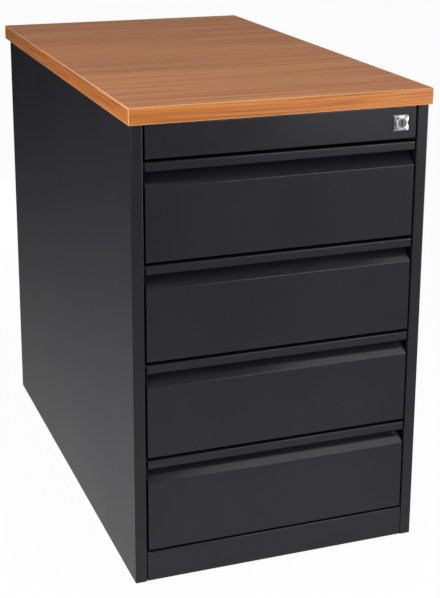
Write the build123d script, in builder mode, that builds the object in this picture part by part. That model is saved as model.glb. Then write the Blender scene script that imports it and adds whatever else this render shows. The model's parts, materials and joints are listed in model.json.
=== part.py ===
from build123d import *
import math
import os

# Desk-height steel drawer pedestal with a wood-look top, in millimetres.
# +Z is up, the drawers open towards -Y, and the origin is on the floor under the middle of the top.

os.makedirs("parts", exist_ok=True)

# Carcass and the layout of its front, from the floor up
carcass_width = 460
carcass_depth = 800
floor_gap = 2
plinth_height = 50
drawer_count = 4
drawer_front_height = 146
fascia_height = 50
front_gap = 3
drawer_gap = 4.5
stile_width = 18
plinth_seam = 1

# Steel sheet and its folds
sheet = 1
bend_inside = 1
stile_flange = 15
rear_flange = 15
shelf_flange = 14
flange_relief = 2
fold_clearance = 0.5

# Top board and its edge bands
top_thickness = 25
top_side_overhang = 4
top_front_overhang = 5
top_rear_overhang = 25
band_thickness = 2
band_radius = 1.5

# Rails, base and posts
fascia_return = 15
fascia_hook_depth = 17.5
top_rail_width = 40
top_rail_flange = 13
plinth_top_return = 20
plinth_bottom_return = 30
base_flange = 12
post_width = 40
post_setback = 45
post_rear_inset = 80
post_foot_clearance = 5
post_head_clearance = 1

# Drawer front: a finger recess under a hemmed lip, in front of the tray
lip_height = 13
lip_hem_gap = 1
lip_hem_height = 6
recess_opening = 23
recess_depth = 24
recess_rise = 24
pull_edge = 8
recess_seam = 1
front_return = 18
front_tab = 24

# Drawer tray
tray_height = 110
tray_lift = 9
tray_hem = 8
tray_flange = 12
tray_back_flange = 10
tray_rear_space = 74
weld_gap = 0.1

# Telescopic slides, one pair a drawer
slide_height = 45.6
slide_thickness = 12.7
slide_sheet = 1.2
slide_gap = 0.4
slide_lip_clearance = 1
slide_front_inset = 4
slide_rear_inset = 6
slide_centre = 45
buffer_length = 8
buffer_corner = 1.2
buffer_clearance = 0.5

# Lock
lock_inset = 25
lock_plate = 24.5
lock_plate_thickness = 2.2
lock_plate_corner = 1.5
lock_plate_bevel = 1.2
lock_collar_proud = 4.6
lock_collar_round = 0.5
lock_wall = 2
lock_hole_clearance = 0.2
lock_nut_across = 24
lock_nut_thickness = 5
plug_radius = 7
plug_recess = 0.3
plug_clearance = 0.05
key_slot_width = 1.8
key_slot_height = 9
key_slot_depth = 9
cam_thickness = 2.4
cam_hub_radius = 8
cam_lobe_radius = 4.5
cam_end_float = 0.3
cam_spigot_radius = 4
cam_pin_radius = 2.5
cam_pin_end = 2
cam_bar_clearance = 1.9

# Lock bar, its guides and the drawer catches
bar_lift = 12
bar_wall_clearance = 1
bar_side_clearance = 2
bar_thickness = 2
bar_arm_height = 17
bar_arm_end = 8
bar_tail = 20
slot_clearance = 0.5
tab_height = 8
tab_thickness = 2
tab_above_slide = 6.2
tab_tray_clearance = 5
guide_height = 14
guide_wall = 4
guide_clearance = 0.3
guide_above_front = 20
catch_sheet = 1.5
catch_height = 18
catch_length = 40
catch_front_clearance = 1
catch_tab_clearance = 1.5
catch_stile_clearance = 1.5

# Levelling glides
glide_radius = 14
glide_front_clearance = 1
glide_side_clearance = 6
glide_floor = 1
stem_radius = 4
stem_height = 24
stem_nut_across = 13
stem_nut_thickness = 6

# Screws and rivets
hole_clearance = 0.05
screw_radius = 2
screw_head_radius = 4.2
screw_head_height = 2.4
cam_screw_length = 10
top_screw_length = 18
top_screw_inset = 80
fascia_screw_length = 5
fascia_screw_inset = 49
fascia_screw_rise = 5
rivet_radius = 2
rivet_head_radius = 3.5
rivet_head_height = 1.2
rivet_tail_radius = 2.8
rivet_tail_height = 1.5
back_rivet_count = 5
back_rivet_margin = 60
front_rivet_count = 4
front_rivet_inset = 36
front_rivet_height = 17

# Front layout that follows from the sizes above
drawer_pitch = drawer_front_height + drawer_gap
drawer_bases = [plinth_height + front_gap + step * drawer_pitch for step in range(drawer_count)]
fascia_bottom = plinth_height + front_gap + drawer_count * drawer_pitch
carcass_top = fascia_bottom + fascia_height
top_width = carcass_width + 2 * top_side_overhang
top_depth = carcass_depth + top_front_overhang + top_rear_overhang
front_y = top_front_overhang - top_depth / 2
rear_y = front_y + carcass_depth

# Widths, measured from the middle
side_x = carcass_width / 2
web_x = side_x - sheet
stile_x = side_x - stile_width
front_x = stile_x - front_gap
tray_x = stile_x - slide_thickness

# Folds and rails
bend = sheet + bend_inside
base_z = floor_gap + sheet
rail_top = carcass_top - sheet
rail_bottom = rail_top - top_rail_flange
front_rail_y = front_y + fascia_hook_depth
rear_rail_y = rear_y - 2 * sheet - fold_clearance - top_rail_width

# Depths behind the front, from the recess back to the slides
wall_depth = recess_depth + recess_seam
tray_front = wall_depth + sheet
tray_length = carcass_depth - tray_front - tray_rear_space
pull_height = drawer_front_height - lip_height - recess_opening
slide_front = tray_front + slide_front_inset
slide_length = tray_length - slide_front_inset - slide_rear_inset
member_length = slide_length - buffer_length - buffer_clearance
middle_web_x = stile_x - slide_sheet - slide_gap
lip_x = tray_x + slide_sheet + slide_lip_clearance
inner_lip_x = middle_web_x - slide_sheet - slide_lip_clearance
middle_height = slide_height - 2 * (slide_sheet + slide_gap)
inner_height = middle_height - 2 * (slide_sheet + slide_gap)

# Lock, lock bar and catches
lock_x = front_x - lock_inset
lock_z = fascia_bottom + fascia_height / 2
bar_depth = tray_front + bar_wall_clearance
bar_rear = bar_depth + bar_thickness
bar_width = stile_width - 2 * sheet - 2 * bar_side_clearance
bar_x = (stile_x + sheet + web_x) / 2
cam_rear = bar_depth - cam_bar_clearance - screw_head_height
cam_depth = cam_rear - cam_thickness
lock_barrel_length = cam_depth - cam_end_float
lock_barrel_radius = plug_radius + plug_clearance + lock_wall
cam_pin_offset = bar_lift / 2
cam_pin_orbit = math.hypot(cam_pin_offset, cam_pin_offset)
cam_pin_x = lock_x - cam_pin_offset
cam_pin_z = lock_z - cam_pin_offset
tab_rear = bar_rear + tab_thickness
tab_bottom = slide_centre + slide_height / 2 + tab_above_slide
catch_bottom = tab_bottom + tab_height + catch_tab_clearance

# Points that hold fasteners and glides
rail_screw_x = side_x - top_screw_inset
rail_lines = [front_rail_y + top_rail_width / 2, rear_rail_y + top_rail_width / 2]
top_screw_points = [(x, y) for x in (-rail_screw_x, rail_screw_x) for y in rail_lines]
fascia_screw_x = front_x - fascia_screw_inset
fascia_screw_points = [(x, rail_bottom + fascia_screw_rise) for x in (-fascia_screw_x, 0, fascia_screw_x)]
back_rivet_x = side_x - rear_flange / 2
back_rivet_span = carcass_top - floor_gap - 2 * back_rivet_margin
back_rivet_rows = [row / (back_rivet_count - 1) * back_rivet_span for row in range(back_rivet_count)]
back_rivet_z = [floor_gap + back_rivet_margin + row for row in back_rivet_rows]
back_rivet_points = [(x, z) for x in (-back_rivet_x, back_rivet_x) for z in back_rivet_z]
front_rivet_span = 2 * (front_x - front_rivet_inset)
front_rivet_x = [front_rivet_span * (k / (front_rivet_count - 1) - 0.5) for k in range(front_rivet_count)]
glide_x = web_x - shelf_flange - glide_radius - glide_side_clearance
glide_inset_y = plinth_bottom_return + glide_radius + glide_front_clearance
glide_rows = [front_y + glide_inset_y, rear_y - glide_inset_y]
glide_points = [(x, y) for x in (-glide_x, glide_x) for y in glide_rows]


def save(piece, name):
    """Label a finished piece and write its file."""
    piece.part.label = name
    export_step(piece.part, f"parts/{name}.step")


def behind_front(depth):
    """Plane parallel to the front and this far behind it. A negative extrude runs backwards from it."""
    return Plane.XZ.offset(-front_y - depth)


def sheet_section(points, side, radius=bend):
    """Fill the section of a folded sheet from its outer line, inside a sketch."""
    with BuildLine() as outline:
        FilletPolyline(*points, radius=radius)
        offset(amount=sheet, side=side)
    make_face(outline.edges())


# Top board, with pilot holes for its screws
with BuildPart() as top_board:
    with BuildSketch(Plane.XY.offset(carcass_top)):
        Rectangle(top_width - 2 * band_thickness, top_depth - 2 * band_thickness)
    extrude(amount=top_thickness)
    with BuildSketch(Plane.XY.offset(carcass_top)):
        with Locations(top_screw_points):
            Circle(screw_radius + hole_clearance)
    extrude(amount=top_screw_length, mode=Mode.SUBTRACT)
save(top_board, "top_board")


def end_band(y):
    """Edge band across the front or rear of the top, rounded wherever it doesn't meet the board."""
    with BuildPart() as band:
        with BuildSketch(Plane.XY.offset(carcass_top)):
            with Locations((0, y)):
                Rectangle(top_width, band_thickness)
        extrude(amount=top_thickness)
        glued_edges = band.faces().sort_by(Axis.Y)[-1 if y < 0 else 0].edges()
        fillet([edge for edge in band.edges() if edge not in glued_edges], band_radius)
    return band


def side_band(x):
    """Edge band along one side of the top, between the front and rear bands."""
    with BuildPart() as band:
        with BuildSketch(Plane.XY.offset(carcass_top)):
            with Locations((x, 0)):
                Rectangle(band_thickness, top_depth - 2 * band_thickness)
        extrude(amount=top_thickness)
        outer_face = band.faces().sort_by(Axis.X)[0 if x < 0 else -1]
        fillet(outer_face.edges().filter_by(Axis.Y), band_radius)
    return band


band_x = (top_width - band_thickness) / 2
band_y = (top_depth - band_thickness) / 2
save(end_band(-band_y), "front_edge_band")
save(end_band(band_y), "rear_edge_band")
save(side_band(-band_x), "left_edge_band")
save(side_band(band_x), "right_edge_band")

# Side panels: web, stile and rear flange folded from one sheet, with flanges for the top and the base
with BuildPart() as left_side_panel:
    with BuildSketch(Plane.XY.offset(floor_gap)):
        panel_line = [
            (-stile_x, front_y + stile_flange),
            (-stile_x, front_y),
            (-side_x, front_y),
            (-side_x, rear_y),
            (-side_x + rear_flange, rear_y),
        ]
        sheet_section(panel_line, Side.RIGHT)
    extrude(amount=carcass_top - floor_gap)
    flange_front = front_y + stile_flange + flange_relief
    flange_rear = rear_y - 2 * sheet
    for flange_z in (floor_gap, rail_top):
        with BuildSketch(Plane.XY.offset(flange_z)):
            with Locations((-web_x, flange_front)):
                Rectangle(shelf_flange, flange_rear - flange_front, align=Align.MIN)
        extrude(amount=sheet)
    with BuildSketch(behind_front(carcass_depth - sheet)):
        with Locations([(-back_rivet_x, z) for z in back_rivet_z]):
            Circle(rivet_radius + hole_clearance)
    extrude(amount=-sheet, mode=Mode.SUBTRACT)
save(left_side_panel, "left_side_panel")

with BuildPart() as right_side_panel:
    mirror(left_side_panel.part, about=Plane.YZ)
save(right_side_panel, "right_side_panel")

# Back panel, inside the rear flanges
with BuildPart() as back_panel:
    with BuildSketch(behind_front(carcass_depth - 2 * sheet)):
        with Locations((0, (floor_gap + carcass_top) / 2)):
            back_width = carcass_width - 2 * (bend + fold_clearance)
            Rectangle(back_width, carcass_top - floor_gap - 2 * fold_clearance)
        with Locations(back_rivet_points):
            Circle(rivet_radius + hole_clearance, mode=Mode.SUBTRACT)
    extrude(amount=-sheet)
save(back_panel, "back_panel")

# Base pan, standing on the side panels' lower flanges
with BuildPart() as base_pan:
    with BuildSketch(behind_front(stile_flange + flange_relief)):
        pan_line = [
            (-web_x, base_z + base_flange),
            (-web_x, base_z),
            (web_x, base_z),
            (web_x, base_z + base_flange),
        ]
        sheet_section(pan_line, Side.LEFT)
    extrude(amount=-(carcass_depth - 2 * sheet - stile_flange - flange_relief))
    with BuildSketch(Plane.XY.offset(base_z)):
        with Locations(glide_points):
            Circle(stem_radius + hole_clearance)
    extrude(amount=sheet, mode=Mode.SUBTRACT)
save(base_pan, "base_pan")

# Plinth rail between the stiles. Its lower return runs under the base pan
with BuildPart() as plinth_rail:
    with BuildSketch(Plane.YZ.offset(plinth_seam - stile_x)):
        plinth_line = [
            (front_y + plinth_bottom_return, floor_gap),
            (front_y, floor_gap),
            (front_y, plinth_height),
            (front_y + plinth_top_return, plinth_height),
        ]
        sheet_section(plinth_line, Side.RIGHT)
    extrude(amount=2 * (stile_x - plinth_seam))
save(plinth_rail, "plinth_rail")

# Lock fascia, hooked over the front of the front top rail
with BuildPart() as lock_fascia:
    with BuildSketch(Plane.YZ.offset(-front_x)):
        fascia_line = [
            (front_y + fascia_return, fascia_bottom),
            (front_y, fascia_bottom),
            (front_y, carcass_top - fold_clearance),
            (front_y + fascia_hook_depth, carcass_top - fold_clearance),
            (front_y + fascia_hook_depth, rail_bottom),
        ]
        sheet_section(fascia_line, Side.RIGHT)
    extrude(amount=2 * front_x)
    with BuildSketch(behind_front(0)):
        with Locations((lock_x, lock_z)):
            Circle(lock_barrel_radius + lock_hole_clearance)
    extrude(amount=-sheet, mode=Mode.SUBTRACT)
    with BuildSketch(behind_front(fascia_hook_depth - sheet)):
        with Locations(fascia_screw_points):
            Circle(screw_radius + hole_clearance)
    extrude(amount=-sheet, mode=Mode.SUBTRACT)
save(lock_fascia, "lock_fascia")


def top_rail(rail_y, fascia_holes):
    """Channel between the side panels, open downwards, drilled for the top screws and any fascia screws."""
    with BuildPart() as rail:
        with BuildSketch(Plane.YZ.offset(fold_clearance - web_x)):
            rail_line = [
                (rail_y, rail_bottom),
                (rail_y, rail_top),
                (rail_y + top_rail_width, rail_top),
                (rail_y + top_rail_width, rail_bottom),
            ]
            sheet_section(rail_line, Side.RIGHT)
        extrude(amount=2 * (web_x - fold_clearance))
        with BuildSketch(Plane.XY.offset(rail_top - sheet)):
            with Locations([(x, rail_y + top_rail_width / 2) for x in (-rail_screw_x, rail_screw_x)]):
                Circle(screw_radius + hole_clearance)
        extrude(amount=sheet, mode=Mode.SUBTRACT)
        if fascia_holes:
            with BuildSketch(behind_front(fascia_hook_depth)):
                with Locations(fascia_holes):
                    Circle(screw_radius + hole_clearance)
            extrude(amount=-sheet, mode=Mode.SUBTRACT)
    return rail


save(top_rail(front_rail_y, fascia_screw_points), "front_top_rail")
save(top_rail(rear_rail_y, []), "rear_top_rail")


def runner_posts(depth):
    """Pair of upright channels that bring the slides in line with the stiles."""
    post_y = front_y + depth
    post_foot = base_z + base_flange + post_foot_clearance
    with BuildPart() as posts:
        with BuildSketch(Plane.XY.offset(post_foot)):
            post_line = [
                (web_x, post_y),
                (stile_x, post_y),
                (stile_x, post_y + post_width),
                (web_x, post_y + post_width),
            ]
            sheet_section(post_line, Side.RIGHT)
        extrude(amount=rail_bottom - post_head_clearance - post_foot)
        mirror(about=Plane.YZ)
    return posts


save(runner_posts(post_setback), "front_posts")
save(runner_posts(slide_front + slide_length - post_rear_inset - post_width), "rear_posts")


def slide_members(bases, back_x, open_x, height, length):
    """Channels for the drawers at these bases: web at back_x, open towards open_x, on both sides."""
    middle_x = (back_x + open_x) / 2
    hollow_x = middle_x + math.copysign(slide_sheet, open_x - back_x)
    with BuildPart() as members:
        with BuildSketch(behind_front(slide_front)):
            for base in bases:
                with Locations((middle_x, base + slide_centre)):
                    Rectangle(abs(open_x - back_x), height)
                with Locations((hollow_x, base + slide_centre)):
                    Rectangle(abs(open_x - back_x), height - 2 * slide_sheet, mode=Mode.SUBTRACT)
        extrude(amount=-length)
        mirror(about=Plane.YZ)
    return members


save(slide_members(drawer_bases, stile_x, lip_x, slide_height, slide_length), "cabinet_slides")

# Rubber buffers in the rear ends of the cabinet slide members
with BuildPart() as slide_buffers:
    with BuildSketch(behind_front(slide_front + slide_length - buffer_length)):
        for base in drawer_bases:
            with Locations(((stile_x - slide_sheet + lip_x) / 2, base + slide_centre)):
                RectangleRounded(stile_x - slide_sheet - lip_x, inner_height, buffer_corner)
    extrude(amount=-buffer_length)
    mirror(about=Plane.YZ)
save(slide_buffers, "slide_buffers")


def front_skin(base):
    """Drawer front: tab, lower return, face, and a pull that slopes up and back to a turned-down edge."""
    with BuildPart() as skin:
        with BuildSketch(Plane.YZ.offset(-front_x)):
            skin_line = [
                (front_y + wall_depth, base + front_tab),
                (front_y + wall_depth, base),
                (front_y, base),
                (front_y, base + pull_height),
                (front_y + recess_depth, base + pull_height + recess_rise),
                (front_y + recess_depth, base + pull_height + recess_rise - pull_edge),
            ]
            sheet_section(skin_line, Side.RIGHT)
        extrude(amount=2 * front_x)
        for return_x in (-front_x, front_x - sheet):
            with BuildSketch(Plane.YZ.offset(return_x)):
                with Locations((front_y + sheet, base + sheet)):
                    Rectangle(front_return - sheet, pull_height - sheet - bend, align=Align.MIN)
            extrude(amount=sheet)
        with BuildSketch(behind_front(wall_depth - sheet)):
            with Locations([(x, base + front_rivet_height) for x in front_rivet_x]):
                Circle(rivet_radius + hole_clearance)
        extrude(amount=-sheet, mode=Mode.SUBTRACT)
    return skin


def inner_front(base):
    """Back wall of the finger recess, folded forwards at the top into the hemmed lip."""
    top = base + drawer_front_height
    lip_bottom = top - lip_height
    hem_depth = 2 * sheet + lip_hem_gap
    hem_bend = sheet + lip_hem_gap / 3
    with BuildPart() as wall:
        with BuildSketch(Plane.YZ.offset(-front_x)):
            wall_line = [
                (front_y + tray_front, base + tray_lift),
                (front_y + tray_front, top),
                (front_y, top),
                (front_y, lip_bottom),
                (front_y + hem_depth, lip_bottom),
                (front_y + hem_depth, lip_bottom + lip_hem_height),
            ]
            sheet_section(wall_line, Side.LEFT, [bend, bend, hem_bend, hem_bend])
        extrude(amount=2 * front_x)
        with BuildSketch(behind_front(wall_depth)):
            with Locations([(x, base + front_rivet_height) for x in front_rivet_x]):
                Circle(rivet_radius + hole_clearance)
        extrude(amount=-sheet, mode=Mode.SUBTRACT)
    return wall


def drawer_tray(base):
    """Hemmed side profiles, the floor on their flanges, and the back. The inner front closes it in front."""
    low = base + tray_lift
    high = low + tray_height
    floor_bottom = low + sheet + weld_gap
    back_bottom = floor_bottom + sheet + weld_gap
    back_x = tray_x - sheet - weld_gap
    back_y = front_y + tray_front + tray_length
    with BuildPart() as tray:
        with BuildSketch(behind_front(tray_front)):
            side_line = [
                (tray_x - tray_hem, high),
                (tray_x, high),
                (tray_x, low),
                (tray_x - tray_flange, low),
            ]
            sheet_section(side_line, Side.RIGHT)
        extrude(amount=-tray_length)
        mirror(about=Plane.YZ)
        with BuildSketch(Plane.XY.offset(floor_bottom)):
            with Locations((0, front_y + tray_front)):
                Rectangle(2 * (tray_x - bend - fold_clearance), tray_length, align=(Align.CENTER, Align.MIN))
        extrude(amount=sheet)
        with BuildSketch(Plane.XY.offset(back_bottom)):
            back_line = [
                (-back_x, back_y),
                (-back_x, back_y - tray_back_flange),
                (back_x, back_y - tray_back_flange),
                (back_x, back_y),
            ]
            sheet_section(back_line, Side.LEFT)
        extrude(amount=high - bend - fold_clearance - back_bottom)
    return tray


def lock_catch(base):
    """Angle on the right side of a tray. The raised lock bar tab stands in front of it."""
    with BuildPart() as catch:
        with BuildSketch(Plane.XY.offset(base + catch_bottom)):
            with Locations((tray_x, front_y + tab_rear + catch_front_clearance)):
                Rectangle(stile_x - catch_stile_clearance - tray_x, catch_sheet, align=Align.MIN)
                Rectangle(catch_sheet, catch_length, align=Align.MIN)
        extrude(amount=catch_height)
    return catch


def rivets(points, head_depth):
    """Rivets through two sheets, with their heads behind the sheets at this depth."""
    with BuildPart() as group:
        with BuildSketch(behind_front(head_depth)):
            with Locations(points):
                Circle(rivet_head_radius)
        extrude(amount=-rivet_head_height)
        with BuildSketch(behind_front(head_depth)):
            with Locations(points):
                Circle(rivet_radius)
        extrude(amount=2 * sheet)
        with BuildSketch(behind_front(head_depth - 2 * sheet)):
            with Locations(points):
                Circle(rivet_tail_radius)
        extrude(amount=rivet_tail_height)
        head_rims = group.edges().filter_by(GeomType.CIRCLE).group_by(Axis.Y)[-1]
        fillet(head_rims, rivet_head_height / 2)
    return group


save(rivets(back_rivet_points, carcass_depth), "back_rivets")

# The drawers are numbered from the top down
for step, base in enumerate(drawer_bases):
    number = drawer_count - step
    save(front_skin(base), f"drawer_front_{number}")
    save(inner_front(base), f"inner_front_{number}")
    save(drawer_tray(base), f"drawer_tray_{number}")
    save(lock_catch(base), f"lock_catch_{number}")
    rivet_row = [(x, base + front_rivet_height) for x in front_rivet_x]
    save(rivets(rivet_row, tray_front), f"front_rivets_{number}")
    save(slide_members([base], tray_x, inner_lip_x, inner_height, member_length), f"drawer_slides_{number}")
    save(slide_members([base], middle_web_x, lip_x, middle_height, member_length), f"middle_slides_{number}")

# Lock housing: square escutcheon, round collar and barrel, bored for the plug
with BuildPart() as lock_housing:
    with BuildSketch(behind_front(-lock_plate_thickness)):
        with Locations((lock_x, lock_z)):
            RectangleRounded(lock_plate, lock_plate, lock_plate_corner)
    extrude(amount=-lock_plate_thickness)
    chamfer(lock_housing.faces().sort_by(Axis.Y)[0].edges(), lock_plate_bevel)
    with BuildSketch(behind_front(-lock_collar_proud)):
        with Locations((lock_x, lock_z)):
            Circle(lock_barrel_radius)
    extrude(amount=-(lock_collar_proud + lock_barrel_length))
    fillet(lock_housing.faces().sort_by(Axis.Y)[0].edges(), lock_collar_round)
    with BuildSketch(behind_front(-lock_collar_proud)):
        with Locations((lock_x, lock_z)):
            Circle(plug_radius + plug_clearance)
    extrude(amount=-(lock_collar_proud + lock_barrel_length), mode=Mode.SUBTRACT)
save(lock_housing, "lock_housing")

# Lock nut, which clamps the fascia against the escutcheon
with BuildPart() as lock_nut:
    with BuildSketch(behind_front(sheet)):
        with Locations((lock_x, lock_z)):
            RegularPolygon(lock_nut_across / 2, 6, major_radius=False)
            Circle(lock_barrel_radius + hole_clearance, mode=Mode.SUBTRACT)
    extrude(amount=-lock_nut_thickness)
save(lock_nut, "lock_nut")

# Lock plug: key slot in front, spigot for the cam behind, tapped for the cam screw
plug_face = plug_recess - lock_collar_proud
with BuildPart() as lock_plug:
    with BuildSketch(behind_front(plug_face)):
        with Locations((lock_x, lock_z)):
            Circle(plug_radius)
    extrude(amount=-(cam_depth - plug_face))
    with BuildSketch(behind_front(cam_depth)):
        with Locations((lock_x, lock_z)):
            Circle(cam_spigot_radius)
    extrude(amount=-cam_thickness)
    with BuildSketch(behind_front(plug_face)):
        with Locations((lock_x, lock_z)):
            Rectangle(key_slot_width, key_slot_height)
    extrude(amount=-key_slot_depth, mode=Mode.SUBTRACT)
    with BuildSketch(behind_front(cam_rear)):
        with Locations((lock_x, lock_z)):
            Circle(screw_radius + hole_clearance)
    extrude(amount=cam_screw_length + hole_clearance, mode=Mode.SUBTRACT)
save(lock_plug, "lock_plug")

# Lock cam: its pin stands below and to the left of the plug's axis while the drawers are unlocked
with BuildPart() as lock_cam:
    with BuildSketch(behind_front(cam_depth)):
        with Locations((lock_x, lock_z)):
            Circle(cam_hub_radius)
        with Locations((cam_pin_x, cam_pin_z)):
            Circle(cam_lobe_radius)
        make_hull()
        with Locations((lock_x, lock_z)):
            Circle(cam_spigot_radius + hole_clearance, mode=Mode.SUBTRACT)
    extrude(amount=-cam_thickness)
    with BuildSketch(behind_front(cam_rear)):
        with Locations((cam_pin_x, cam_pin_z)):
            Circle(cam_pin_radius)
    extrude(amount=-(bar_rear + cam_pin_end - cam_rear))
save(lock_cam, "lock_cam")


def screws(points, plane, length):
    """Pan-head screws: heads on the plane's back, shanks running along the plane's normal."""
    with BuildPart() as group:
        with BuildSketch(plane):
            with Locations(points):
                Circle(screw_head_radius)
        extrude(amount=-screw_head_height)
        with BuildSketch(plane):
            with Locations(points):
                Circle(screw_radius)
        extrude(amount=length)
    return group


fascia_screw_seat = behind_front(fascia_hook_depth + sheet)
save(screws([(lock_x, lock_z)], behind_front(cam_rear), cam_screw_length), "cam_screw")
save(screws(fascia_screw_points, fascia_screw_seat, fascia_screw_length), "fascia_screws")
save(screws(top_screw_points, Plane.XY.offset(rail_top - sheet), top_screw_length), "top_screws")

# Lock bar: strip beside the right stile, with an arm to the cam pin
slot_reach = cam_pin_radius + slot_clearance
slot_left = lock_x - cam_pin_orbit - slot_reach
slot_right = cam_pin_x + slot_reach
arm_left = slot_left - bar_arm_end
arm_bottom = cam_pin_z - bar_arm_height / 2
bar_left = bar_x - bar_width / 2
bar_bottom = drawer_bases[0] + guide_above_front - bar_tail
with BuildPart() as lock_bar:
    with BuildSketch(behind_front(bar_depth)):
        with Locations((bar_left, bar_bottom)):
            Rectangle(bar_width, arm_bottom + bar_arm_height - bar_bottom, align=Align.MIN)
        with Locations((arm_left, arm_bottom)):
            Rectangle(bar_x - arm_left, bar_arm_height, align=Align.MIN)
        with Locations(((slot_left + slot_right) / 2, cam_pin_z)):
            Rectangle(slot_right - slot_left, 2 * slot_reach, mode=Mode.SUBTRACT)
    extrude(amount=-bar_thickness)
save(lock_bar, "lock_bar")

# Tabs on the rear face of the lock bar, one a drawer
tab_left = tray_x + tab_tray_clearance
with BuildPart() as lock_tabs:
    with BuildSketch(behind_front(bar_rear)):
        with Locations([(tab_left, base + tab_bottom) for base in drawer_bases]):
            Rectangle(bar_left + bar_width - tab_left, tab_height, align=Align.MIN)
    extrude(amount=-tab_thickness)
save(lock_tabs, "lock_tabs")

# Guides fixed to the right side panel, behind the lowest and the highest drawer front
with BuildPart() as lock_bar_guides:
    guide_y = front_y + bar_depth + bar_thickness / 2
    guide_left = bar_left - bar_side_clearance
    for base in (drawer_bases[0], drawer_bases[-1]):
        with BuildSketch(Plane.XY.offset(base + guide_above_front)):
            with Locations(((guide_left + web_x) / 2, guide_y)):
                Rectangle(web_x - guide_left, bar_thickness + 2 * guide_wall)
            with Locations((bar_x, guide_y)):
                slot_size = (bar_width + 2 * guide_clearance, bar_thickness + 2 * guide_clearance)
                Rectangle(*slot_size, mode=Mode.SUBTRACT)
        extrude(amount=guide_height)
save(lock_bar_guides, "lock_bar_guides")

# Levelling glides under the base pan
with BuildPart() as glide_feet:
    with BuildSketch(Plane.XY):
        with Locations(glide_points):
            Circle(glide_radius)
    extrude(amount=base_z)
    with BuildSketch(Plane.XY.offset(glide_floor)):
        with Locations(glide_points):
            Circle(stem_radius + hole_clearance)
    extrude(amount=base_z - glide_floor, mode=Mode.SUBTRACT)
save(glide_feet, "glide_feet")

with BuildPart() as glide_stems:
    with BuildSketch(Plane.XY.offset(glide_floor)):
        with Locations(glide_points):
            Circle(stem_radius)
    extrude(amount=stem_height)
save(glide_stems, "glide_stems")

with BuildPart() as glide_nuts:
    with BuildSketch(Plane.XY.offset(base_z + sheet)):
        with Locations(glide_points):
            RegularPolygon(stem_nut_across / 2, 6, major_radius=False)
            Circle(stem_radius + hole_clearance, mode=Mode.SUBTRACT)
    extrude(amount=stem_nut_thickness)
save(glide_nuts, "glide_nuts")
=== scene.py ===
import json
import math

import bmesh
import bpy
from mathutils import Matrix, Vector


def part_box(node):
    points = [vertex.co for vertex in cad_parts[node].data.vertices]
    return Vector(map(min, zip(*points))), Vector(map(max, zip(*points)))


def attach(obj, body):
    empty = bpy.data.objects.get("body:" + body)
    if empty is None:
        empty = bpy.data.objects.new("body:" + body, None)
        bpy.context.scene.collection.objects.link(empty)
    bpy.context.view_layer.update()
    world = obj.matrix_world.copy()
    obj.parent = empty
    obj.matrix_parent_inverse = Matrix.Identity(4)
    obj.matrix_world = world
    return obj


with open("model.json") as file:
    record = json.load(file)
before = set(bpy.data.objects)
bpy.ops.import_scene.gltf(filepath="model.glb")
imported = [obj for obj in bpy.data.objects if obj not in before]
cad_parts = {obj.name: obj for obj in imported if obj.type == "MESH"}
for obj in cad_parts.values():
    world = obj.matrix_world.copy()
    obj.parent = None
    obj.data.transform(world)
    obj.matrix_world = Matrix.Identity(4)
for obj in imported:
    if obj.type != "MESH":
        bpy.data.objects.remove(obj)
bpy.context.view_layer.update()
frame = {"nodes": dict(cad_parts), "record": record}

# Looks of the drawer pedestal. Metres, +Z up, the drawers face -Y, as in the CAD frame.
nodes = frame["nodes"]
MM = 0.001
X, Y = 0, 1


# Helpers for materials. ShaderNodeMix keeps its colour sockets at these places.
MIX_FACTOR, MIX_A, MIX_B, MIX_RESULT = 0, 6, 7, 2


def linear(hex_colour):
    """Turns an sRGB hex colour into the linear colour that a socket takes."""
    channels = [int(hex_colour[i:i + 2], 16) / 255 for i in (1, 3, 5)]
    return [c / 12.92 if c <= 0.04045 else ((c + 0.055) / 1.055) ** 2.4 for c in channels] + [1.0]


def add_node(tree, kind, inputs=None, **settings):
    """Adds one node, sets its options, and links or sets the inputs that are given."""
    node = tree.nodes.new(kind)
    for option, value in settings.items():
        setattr(node, option, value)
    for socket, value in (inputs or {}).items():
        if isinstance(value, bpy.types.NodeSocket):
            tree.links.new(value, node.inputs[socket])
        else:
            node.inputs[socket].default_value = value
    return node


def new_material(name):
    """Starts a material and returns it with its node tree, its shader and the object coordinates."""
    material = bpy.data.materials.new(name)
    material.use_nodes = True
    tree = material.node_tree
    shader = tree.nodes["Principled BSDF"]
    place = add_node(tree, "ShaderNodeTexCoord").outputs["Object"]
    return material, tree, shader, place


def math_node(tree, operation, *values):
    """Does one sum on values or sockets and returns the result's socket."""
    return add_node(tree, "ShaderNodeMath", dict(enumerate(values)), operation=operation).outputs[0]


def noise(tree, place, scale, detail, roughness=0.5):
    """Adds a noise texture and returns its node."""
    return add_node(tree, "ShaderNodeTexNoise",
                    {"Vector": place, "Scale": scale, "Detail": detail, "Roughness": roughness})


def remap(tree, value, low, high, new_low=0.0, new_high=1.0):
    """Maps a value from one range to another and returns the new value's socket."""
    return add_node(tree, "ShaderNodeMapRange",
                    {"Value": value, "From Min": low, "From Max": high,
                     "To Min": new_low, "To Max": new_high}).outputs[0]


def mix_colours(tree, factor, first, second):
    """Mixes two colours, each a hex colour or a socket, and returns the result's socket."""
    first, second = (linear(c) if isinstance(c, str) else c for c in (first, second))
    return add_node(tree, "ShaderNodeMix", {MIX_FACTOR: factor, MIX_A: first, MIX_B: second},
                    data_type="RGBA").outputs[MIX_RESULT]


def dress(tree, shader, colour, roughness, relief, strength, depth):
    """Links a colour, a roughness and a relief of some depth to a shader."""
    tree.links.new(colour, shader.inputs["Base Color"])
    tree.links.new(roughness, shader.inputs["Roughness"])
    bump = add_node(tree, "ShaderNodeBump", {"Height": relief, "Strength": strength, "Distance": depth})
    tree.links.new(bump.outputs[0], shader.inputs["Normal"])


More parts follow.
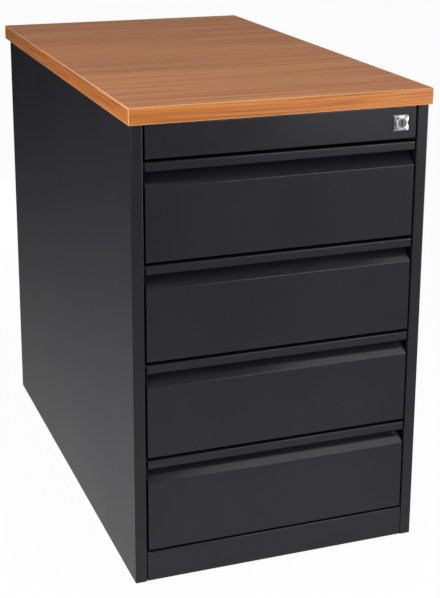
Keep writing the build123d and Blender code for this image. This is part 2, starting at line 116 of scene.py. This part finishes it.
# Wood-look laminate. A print of cherry under a satin melamine skin: soft straight streaks, no open pores,
# and a thin pale sheen where it is seen at a low angle. Grain sizes are in millimetres.
def cherry_decor(name, dark, mid, light, along, grain_length, grain_width, contrast, arris_core_and_highlight=None,
                 specular=0.5):
    material, tree, shader, place = new_material(name)
    # Slow wander of the streaks, 4 mm to each side over about 350 mm.
    wander = noise(tree, place, 1 / (350 * MM), 1.0)
    sway = [16 * MM] * 3
    sway[along] = 0.0
    offset = add_node(tree, "ShaderNodeVectorMath", {0: wander.outputs["Color"], 1: (0.5, 0.5, 0.5)},
                      operation="SUBTRACT")
    bent = add_node(tree, "ShaderNodeVectorMath", {0: offset.outputs[0], 1: sway, 2: place},
                    operation="MULTIPLY_ADD")
    grain = [1 / (grain_width * MM)] * 3
    grain[along] = 1 / (grain_length * MM)
    stretched = add_node(tree, "ShaderNodeMapping", {"Vector": bent.outputs[0], "Scale": grain}).outputs[0]
    streak = noise(tree, stretched, 1.0, 5.0, 0.62).outputs[0]
    streak_level = remap(tree, streak, 0.34, 0.66)
    # Broad bands, six streaks wide, as the boards of a veneer differ.
    band = noise(tree, stretched, 0.17, 1.5).outputs[0]
    ground = mix_colours(tree, remap(tree, band, 0.35, 0.65), mid, light)
    fleck = remap(tree, streak_level, 0.0, 0.75, contrast, 0.0)
    colour = mix_colours(tree, fleck, ground, dark)
    if arris_core_and_highlight:
        # Where no one axis holds the normal, the rounded arris is drawn paler: partly the band's trimmed paler
        # core, partly a painted highlight along the edge.
        normal = add_node(tree, "ShaderNodeTexCoord").outputs["Normal"]
        parts = add_node(tree, "ShaderNodeSeparateXYZ", {0: normal}).outputs
        sizes = [math_node(tree, "ABSOLUTE", part) for part in parts]
        largest = math_node(tree, "MAXIMUM", math_node(tree, "MAXIMUM", sizes[0], sizes[1]), sizes[2])
        arris_core_and_highlight_mask = remap(tree, largest, 0.999, 0.96, 0.0, 0.85)
        colour = mix_colours(tree, arris_core_and_highlight_mask, colour, arris_core_and_highlight)
    gloss = remap(tree, streak, 0.3, 0.7, 0.40, 0.48)
    dress(tree, shader, colour, gloss, streak, 0.25, 0.05 * MM)
    shader.inputs["IOR"].default_value = 1.5
    shader.inputs["Specular IOR Level"].default_value = specular
    return material


# Fine-texture powder coat on folded steel: near-black charcoal, satin, with a faint orange peel.
def charcoal_coat():
    material, tree, shader, place = new_material("satin_charcoal_coat")
    # The peel is about 0.6 mm across; it is drawn at 2.4 mm so that it shows.
    peel = noise(tree, place, 1 / (2.4 * MM), 2.0).outputs[0]
    cloud = noise(tree, place, 1 / (140 * MM), 2.0).outputs[0]
    mottle = math_node(tree, "MULTIPLY_ADD", peel, 0.45, cloud)
    colour = mix_colours(tree, remap(tree, mottle, 0.5, 0.95), "#1A191F", "#201F26")
    gloss = remap(tree, cloud, 0.3, 0.7, 0.46, 0.50)
    dress(tree, shader, colour, gloss, peel, 0.3, 0.08 * MM)
    shader.inputs["Specular IOR Level"].default_value = 0.09
    # The cured skin of the coat is smoother than its peel, and draws a thin light line along each fold.
    shader.inputs["Coat Weight"].default_value = 0.15
    shader.inputs["Coat Roughness"].default_value = 0.15
    shader.inputs["Coat IOR"].default_value = 2.0
    return material


# Bright zinc plate on rolled steel: a cool grey metal with rolling lines along the slides and a cloudy sheen.
def zinc_plate():
    material, tree, shader, place = new_material("bright_zinc_plate")
    # Rolling lines about 0.5 mm apart, drawn at 1.5 mm so that they show.
    line_gap, line_length = 1.5 * MM, 160 * MM
    stretched = add_node(tree, "ShaderNodeMapping",
                         {"Vector": place, "Scale": (1 / line_gap, 1 / line_length, 1 / line_gap)})
    lines = noise(tree, stretched.outputs[0], 1.0, 3.0).outputs[0]
    cloud = noise(tree, place, 1 / (25 * MM), 3.0).outputs[0]
    both = math_node(tree, "MULTIPLY_ADD", lines, 0.6, cloud)
    colour = mix_colours(tree, remap(tree, both, 0.55, 1.05), "#A9ACB0", "#D2D4D6")
    gloss = remap(tree, both, 0.5, 1.1, 0.30, 0.44)
    dress(tree, shader, colour, gloss, lines, 0.2, 0.03 * MM)
    shader.inputs["Metallic"].default_value = 1.0
    return material


# Polished chrome plate on die-cast zinc: a bright mirror, very slightly rippled, with faint wipe marks.
def lock_chrome():
    material, tree, shader, place = new_material("polished_chrome")
    ripple = noise(tree, place, 1 / (6 * MM), 1.0).outputs[0]
    smear = noise(tree, place, 1 / (3 * MM), 4.0).outputs[0]
    colour = mix_colours(tree, smear, "#BFC1C4", "#DADBDD")
    gloss = remap(tree, smear, 0.3, 0.7, 0.06, 0.13)
    dress(tree, shader, colour, gloss, ripple, 0.15, 0.05 * MM)
    shader.inputs["Metallic"].default_value = 1.0
    return material


# Dark nickel on the lock's plug: duller and greyer than the polished plate round it, a little scuffed by keys.
def dark_nickel():
    material, tree, shader, place = new_material("dark_satin_nickel")
    scuff = noise(tree, place, 1 / (2.5 * MM), 4.0).outputs[0]
    colour = mix_colours(tree, scuff, "#47484A", "#606164")
    gloss = remap(tree, scuff, 0.3, 0.7, 0.34, 0.46)
    dress(tree, shader, colour, gloss, scuff, 0.2, 0.04 * MM)
    shader.inputs["Metallic"].default_value = 1.0
    return material


# Moulded black nylon and buffer rubber: matte, dark, with a fine moulded grain.
def moulded_black(name, dark, light, smoothest, roughest):
    material, tree, shader, place = new_material(name)
    grain = noise(tree, place, 1 / (1.5 * MM), 3.0).outputs[0]
    colour = mix_colours(tree, grain, dark, light)
    gloss = remap(tree, grain, 0.3, 0.7, smoothest, roughest)
    dress(tree, shader, colour, gloss, grain, 0.3, 0.05 * MM)
    return material


top_laminate = cherry_decor("cherry_melamine_laminate", dark="#9A5A3A", mid="#C27C4F", light="#CC8C59",
                            along=X, grain_length=420, grain_width=9, contrast=0.7)
# The band across the front and back is drawn darker and more saturated than the same band along the sides:
# painted shade that offsets the front lamps' sheen on it.
band_across_painted_darker = cherry_decor("cherry_edge_band_across", dark="#95500E", mid="#C46F25", light="#D08234",
                           along=X, grain_length=260, grain_width=3.2, contrast=0.95,
                           arris_core_and_highlight="#DDA271", specular=0.33)
band_along = cherry_decor("cherry_edge_band_along", dark="#9C561E", mid="#CB7A3D", light="#DB914F",
                          along=Y, grain_length=260, grain_width=3.2, contrast=0.95, arris_core_and_highlight="#E8B285")
finishes = {
    "top_laminate": top_laminate,
    "edge_band": band_across_painted_darker,
    "charcoal_powder_coat": charcoal_coat(),
    "zinc_plated_steel": zinc_plate(),
    "lock_chrome": lock_chrome(),
    "black_nylon": moulded_black("moulded_black_nylon", "#161617", "#232324", 0.50, 0.62),
    "buffer_rubber": moulded_black("moulded_buffer_rubber", "#141414", "#1F1F1F", 0.75, 0.88),
}
own_finish = {"left_edge_band": band_along, "right_edge_band": band_along, "lock_plug": dark_nickel()}

for part in frame["record"]["subparts"]:
    name = part["node"]
    slots = nodes[name].data.materials
    slots.clear()
    slots.append(own_finish.get(name, finishes[part["material_slot"]]))


# New pieces. Each starts as a primitive at its place and is shaped in edit mode.
FACE_FORWARD = (math.pi / 2, 0, 0)


def choose(piece):
    """Selects one object alone and makes it the active one."""
    bpy.ops.object.select_all(action="DESELECT")
    piece.select_set(True)
    bpy.context.view_layer.objects.active = piece


def pick(piece, kind, test):
    """Selects the faces or edges of a piece, in edit mode, whose middle passes a test."""
    bpy.ops.mesh.select_mode(type=kind)
    bpy.ops.mesh.select_all(action="DESELECT")
    shape = bmesh.from_edit_mesh(piece.data)
    for part in {"EDGE": shape.edges, "FACE": shape.faces}[kind]:
        middle = sum((corner.co for corner in part.verts), Vector()) / len(part.verts)
        if test(middle):
            part.select_set(True)
    shape.select_flush_mode()
    bmesh.update_edit_mesh(piece.data)


def settle(piece, body, slot):
    """Puts the piece's place into its mesh, gives it its finish and lets it ride on a body."""
    choose(piece)
    bpy.ops.object.transform_apply(location=True, rotation=True, scale=True)
    bpy.ops.object.shade_smooth_by_angle(angle=math.radians(35))
    piece.data.materials.clear()
    piece.data.materials.append(finishes[slot])
    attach(piece, body)


# Four sloping faces of the lock's square plate, which rise to its round collar.
PLATE_FACE = -412.2 * MM
BEZEL_WIDTH = 22 * MM
BEZEL_WALL = 0.25 * MM
BEZEL_RISE = 1.3 * MM
COLLAR_RADIUS = 9.2 * MM
BEZEL_SIDE_CUTS = 7


def lock_bezel():
    low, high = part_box("lock_housing")
    middle_x, middle_z = (low[0] + high[0]) / 2, (low[2] + high[2]) / 2
    bpy.ops.object.select_all(action="DESELECT")
    bpy.ops.mesh.primitive_plane_add(size=BEZEL_WIDTH, rotation=FACE_FORWARD,
                                     location=(middle_x, PLATE_FACE - BEZEL_WALL, middle_z))
    bezel = bpy.context.object
    bezel.name = "lock_bezel"
    bpy.ops.object.mode_set(mode="EDIT")
    bpy.ops.mesh.select_all(action="SELECT")
    bpy.ops.mesh.delete(type="ONLY_FACE")
    bpy.ops.mesh.select_all(action="SELECT")
    bpy.ops.mesh.subdivide(number_cuts=BEZEL_SIDE_CUTS)
    bpy.ops.mesh.primitive_circle_add(vertices=4 * (BEZEL_SIDE_CUTS + 1), radius=COLLAR_RADIUS,
                                      rotation=FACE_FORWARD,
                                      location=(middle_x, PLATE_FACE - BEZEL_RISE, middle_z))
    bpy.ops.mesh.select_all(action="SELECT")
    bpy.ops.mesh.bridge_edge_loops()
    bpy.ops.mesh.select_all(action="SELECT")
    bpy.ops.mesh.normals_make_consistent(inside=False)
    bpy.ops.object.mode_set(mode="OBJECT")
    wall = bezel.modifiers.new("wall", "SOLIDIFY")
    wall.thickness = BEZEL_WALL
    wall.offset = -1
    bpy.ops.object.modifier_apply(modifier=wall.name)
    settle(bezel, "carcass", "lock_chrome")


lock_bezel()


# Blind rivets that hold the slides, seen inside the tray walls: a domed head with the hole of its pulled pin.
RIVET_RADIUS = 3.2 * MM
RIVET_HEIGHT = 1.3 * MM
RIVET_ROUND = 1.1 * MM
PIN_RIM = 1.0 * MM
PIN_DEPTH = 0.7 * MM
RIVETS_IN_ROW = 4
RIVET_END_MARGIN = 35 * MM
TRAY_WALL = 1.0 * MM
DRAWERS = 4


def rivet_head(place, side):
    """Models one head on the wall at a place; side is 1 where it points to +X and -1 where it points to -X."""
    bpy.ops.object.select_all(action="DESELECT")
    bpy.ops.mesh.primitive_cylinder_add(vertices=20, radius=RIVET_RADIUS, depth=RIVET_HEIGHT,
                                        location=(RIVET_HEIGHT / 2, 0, 0), rotation=(0, math.pi / 2, 0))
    head = bpy.context.object
    bpy.ops.object.transform_apply(location=True, rotation=True, scale=True)
    bpy.ops.object.mode_set(mode="EDIT")
    pick(head, "EDGE", lambda middle: middle.x > 0.9 * RIVET_HEIGHT)
    bpy.ops.mesh.bevel(offset=RIVET_ROUND, segments=4, profile=0.55)
    pick(head, "FACE", lambda middle: middle.x > RIVET_HEIGHT - 0.01 * MM)
    bpy.ops.mesh.inset(thickness=PIN_RIM)
    bpy.ops.mesh.extrude_region_move(TRANSFORM_OT_translate={"value": (-PIN_DEPTH, 0, 0)})
    if side < 0:
        bpy.ops.mesh.select_all(action="SELECT")
        bpy.ops.transform.rotate(value=math.pi, orient_axis="Z", center_override=(0, 0, 0))
    bpy.ops.mesh.select_all(action="SELECT")
    bpy.ops.transform.translate(value=place)
    bpy.ops.object.mode_set(mode="OBJECT")
    return head


def tray_rivets():
    tray_low, tray_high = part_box("drawer_tray_1")
    slide_low, slide_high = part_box("drawer_slides_1")
    height = (slide_low[2] + slide_high[2]) / 2
    first, last = slide_low[1] + RIVET_END_MARGIN, slide_high[1] - RIVET_END_MARGIN
    left = rivet_head((tray_low[0] + TRAY_WALL, first, height), 1)
    right = rivet_head((tray_high[0] - TRAY_WALL, first, height), -1)
    for number in range(1, DRAWERS + 1):
        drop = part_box(f"drawer_tray_{number}")[0][2] - tray_low[2]
        heads = []
        for step in range(RIVETS_IN_ROW):
            back = (last - first) * step / (RIVETS_IN_ROW - 1)
            for model in (left, right):
                choose(model)
                bpy.ops.object.duplicate(linked=False)
                bpy.ops.transform.translate(value=(0, back, drop))
                heads.append(bpy.context.object)
        for head in heads:
            head.select_set(True)
        bpy.ops.object.join()
        piece = bpy.context.object
        piece.name = f"tray_rivets_{number}"
        settle(piece, f"drawer_{number}", "zinc_plated_steel")
    bpy.data.objects.remove(left)
    bpy.data.objects.remove(right)


tray_rivets()


# Pale floor and backdrop. The eye sees them white, and the floor keeps a soft contact shadow. Mirrors and satin
# steel see them too: there the paper's glow is a painted pool of light, bright near the object and fading away
# from it.
FLOOR_WIDTH = 60
FLOOR_DROP = 0.4 * MM
PAPER_GREY = 0.9
PAPER_GLOW = 0.96
PAINTED_POOL_RADIUS = 1.1
PAINTED_POOL_MIDDLE = (-0.2, -0.4, 0.0)
WORLD_FILL, WORLD_IN_MIRRORS, WORLD_BY_EYE = 0.18, 0.22, 1.0


def seen_directly(tree):
    """Returns the camera-ray socket, and one for the rays that a mirror or glass sends on."""
    rays = add_node(tree, "ShaderNodeLightPath").outputs
    sent_on = math_node(tree, "MAXIMUM", rays["Is Glossy Ray"], rays["Is Transmission Ray"])
    return rays["Is Camera Ray"], sent_on


def mix_shaders(tree, share, first, second):
    """Mixes two shaders and returns the result's socket."""
    return add_node(tree, "ShaderNodeMixShader", {0: share, 1: first, 2: second}).outputs[0]


def white_paper():
    material = bpy.data.materials.new("white_paper")
    material.use_nodes = True
    tree = material.node_tree
    tree.nodes.clear()
    spot = add_node(tree, "ShaderNodeTexCoord").outputs["Object"]
    # The glow that mirrors see is a painted pool of light: full at its middle, half at its radius, fainter
    # further off.
    reach = add_node(tree, "ShaderNodeVectorMath", {0: spot, 1: PAINTED_POOL_MIDDLE},
                     operation="DISTANCE").outputs["Value"]
    squared = math_node(tree, "MULTIPLY", reach, reach)
    painted_light_pool = math_node(tree, "DIVIDE", 1.0, math_node(tree, "MULTIPLY_ADD", squared, PAINTED_POOL_RADIUS ** -2, 1.0))
    by_eye, by_mirror = seen_directly(tree)
    brightness = math_node(tree, "MAXIMUM", by_eye, math_node(tree, "MULTIPLY", by_mirror, painted_light_pool))
    lit = add_node(tree, "ShaderNodeBsdfDiffuse", {"Color": (PAPER_GREY, PAPER_GREY, PAPER_GREY, 1.0)})
    white = add_node(tree, "ShaderNodeEmission", {"Strength": brightness})
    share = math_node(tree, "MULTIPLY", math_node(tree, "MAXIMUM", by_eye, by_mirror), PAPER_GLOW)
    mixed = mix_shaders(tree, share, lit.outputs[0], white.outputs[0])
    add_node(tree, "ShaderNodeOutputMaterial", {"Surface": mixed})
    return material


bpy.ops.object.select_all(action="DESELECT")
bpy.ops.mesh.primitive_plane_add(size=FLOOR_WIDTH, location=(0, 0, -FLOOR_DROP))
floor = bpy.context.object
floor.name = "studio_floor"
floor.data.materials.append(white_paper())

world = bpy.data.worlds.new("studio")
bpy.context.scene.world = world
world.use_nodes = True
world.node_tree.nodes.clear()
by_eye, by_mirror = seen_directly(world.node_tree)
fill, room, white = [add_node(world.node_tree, "ShaderNodeBackground",
                              {"Color": (1.0, 1.0, 1.0, 1.0), "Strength": strength}).outputs[0]
                     for strength in (WORLD_FILL, WORLD_IN_MIRRORS, WORLD_BY_EYE)]
mirrored = mix_shaders(world.node_tree, by_mirror, fill, room)
mixed = mix_shaders(world.node_tree, by_eye, mirrored, white)
add_node(world.node_tree, "ShaderNodeOutputWorld", {"Surface": mixed})


def soft_box(name, place, target, width, height, power, spread=180):
    """Adds a soft lamp at a place, turned to a target. A grid keeps its light within the spread, in degrees."""
    lamp = bpy.data.lights.new(name, "AREA")
    lamp.shape = "RECTANGLE"
    lamp.size = width
    lamp.size_y = height
    lamp.energy = power
    lamp.spread = math.radians(spread)
    holder = bpy.data.objects.new(name, lamp)
    bpy.context.scene.collection.objects.link(holder)
    holder.location = place
    holder.rotation_euler = (Vector(target) - Vector(place)).to_track_quat("-Z", "Y").to_euler()


# The front and near lamps stay off the top's face, so that it isn't bleached when it is seen from behind.
soft_box("top_light", (0.2, -0.3, 2.3), (0.1, -0.2, 0.7), width=1.2, height=0.8, power=13.9)
soft_box("left_light", (-1.0, -0.6, 0.9), (-0.2, -0.2, 0.5), width=0.9, height=0.9, power=9.9)
soft_box("right_light", (1.2, -1.05, 0.35), (0, -0.4, 0.4), width=0.7, height=0.6, power=8)
soft_box("front_light", (0.85, -2.16, 0.66), (0, -0.4, 0.4), width=0.7, height=0.12, power=9)
soft_box("near_light", (0.42, -0.9, 0.98), (0, -0.4, 0.2), width=0.65, height=0.4, power=0.42, spread=80)
soft_box("low_light", (-0.06, -2.34, 0.28), (0.18, -0.41, 0.68), width=0.5, height=0.4, power=1.2)
soft_box("fascia_light", (1.05, -2.3, 0.3), (0.1, -0.41, 0.68), width=0.5, height=0.3, power=0.45)
soft_box("back_light", (0.3, 2.0, 0.4), (0, 0.4, 0.4), width=0.9, height=0.5, power=12)

# Camera at the photo's viewing angle, fitted to the corners of the top, carcass and drawers. Its shift is a part
# of the photo's own, which keeps the uprights parallel: the other views keep the shift and need the room.
FRAME_HEIGHT = 598
FOCAL_PIXELS, AXIS_ROW = 1361.4, 200
YAW, PITCH, ROLL = math.radians(20.18), math.radians(-15.44), math.radians(0.27)
CAMERA_PLACE = (-0.741, -2.158, 1.102)
forward = Vector((math.sin(YAW) * math.cos(PITCH), math.cos(YAW) * math.cos(PITCH), math.sin(PITCH)))
level_right = Vector((math.cos(YAW), -math.sin(YAW), 0))
level_up = level_right.cross(forward)
right = math.cos(ROLL) * level_right + math.sin(ROLL) * level_up
up = -math.sin(ROLL) * level_right + math.cos(ROLL) * level_up
lens = bpy.data.cameras.new("photo_camera")
lens.sensor_width = 36
lens.lens = FOCAL_PIXELS / FRAME_HEIGHT * lens.sensor_width
lens.shift_y = (AXIS_ROW - FRAME_HEIGHT / 2) / FRAME_HEIGHT
camera = bpy.data.objects.new("photo_camera", lens)
bpy.context.scene.collection.objects.link(camera)
turn = Matrix((right, up, -forward)).transposed().to_4x4()
camera.matrix_world = Matrix.Translation(CAMERA_PLACE) @ turn
bpy.context.scene.camera = camera
bpy.context.scene.view_settings.view_transform = "Standard"
